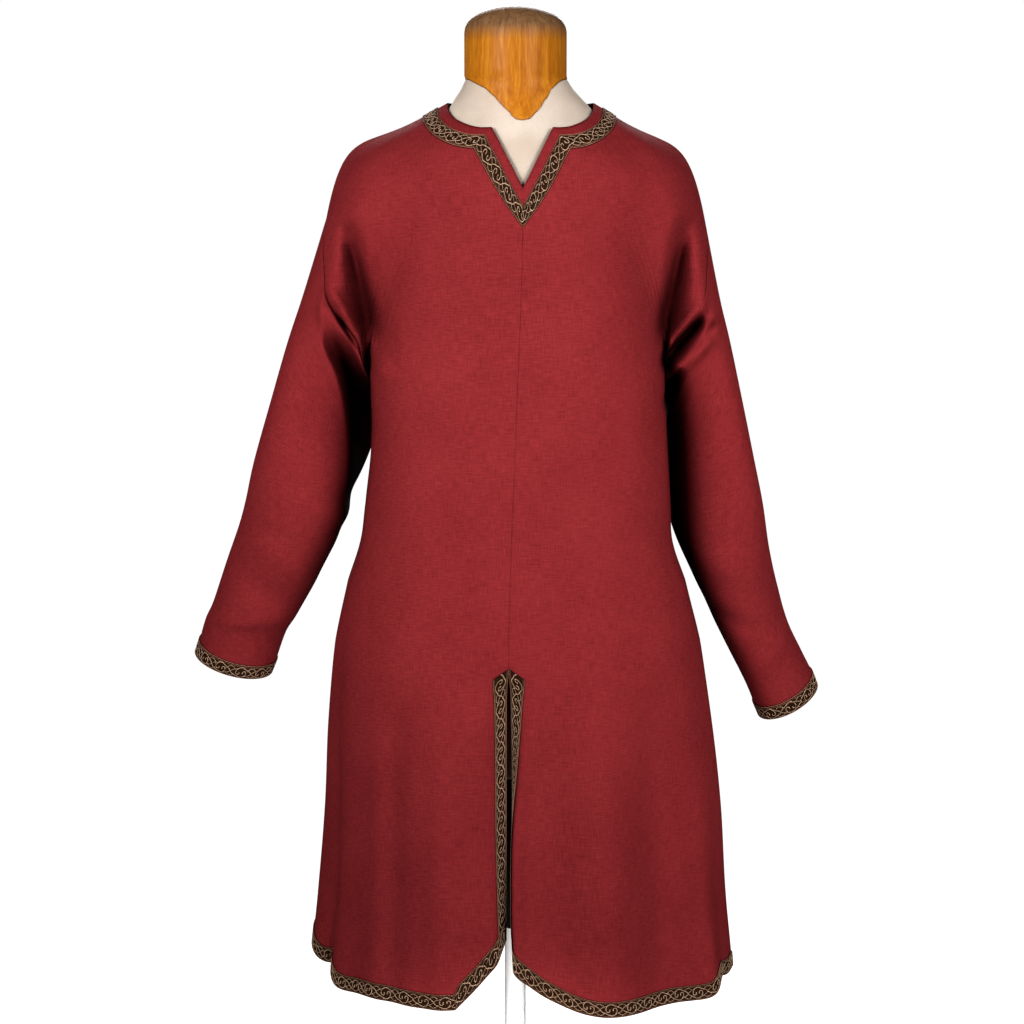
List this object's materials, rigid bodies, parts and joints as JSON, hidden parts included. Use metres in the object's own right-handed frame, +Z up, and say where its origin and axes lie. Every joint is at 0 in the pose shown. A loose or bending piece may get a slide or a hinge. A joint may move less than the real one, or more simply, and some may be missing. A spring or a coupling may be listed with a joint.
{
  "type": "tunic shirt on a dress form",
  "caption": "Long-sleeved linen tunic with a slit neckline, a slit skirt front and woven scroll trim, worn by a limbless dress form on a pole stand.",
  "frame": {"origin": "centre of the underside of the stand's round base, on the floor", "axes": "+Z up along the stand's pole, the tunic's front towards -Y, +X to the wearer's left"},
  "size_m": [0.7531, 0.4027, 1.6194],
  "materials": {
    "linen": "plain-weave linen with slubs, dull",
    "braid": "woven jacquard braid, tan scroll on a dark ground",
    "form_cloth": "cream jersey drawn smooth over the form",
    "varnished_wood": "clear gloss varnish",
    "painted_steel": "satin white lacquer"
  },
  "bodies": {
    "root": {"front_left": "linen", "front_right": "linen", "back": "linen", "sleeve_left": "linen", "sleeve_right": "linen", "neck_trim": "braid", "slit_trim_left": "braid", "slit_trim_right": "braid", "hem_trim": "braid", "cuff_trim_left": "braid", "cuff_trim_right": "braid", "torso_form": "form_cloth", "neck_cap": "varnished_wood", "stand_pole": "painted_steel", "stand_base": "painted_steel"}
  },
  "joints": []
}
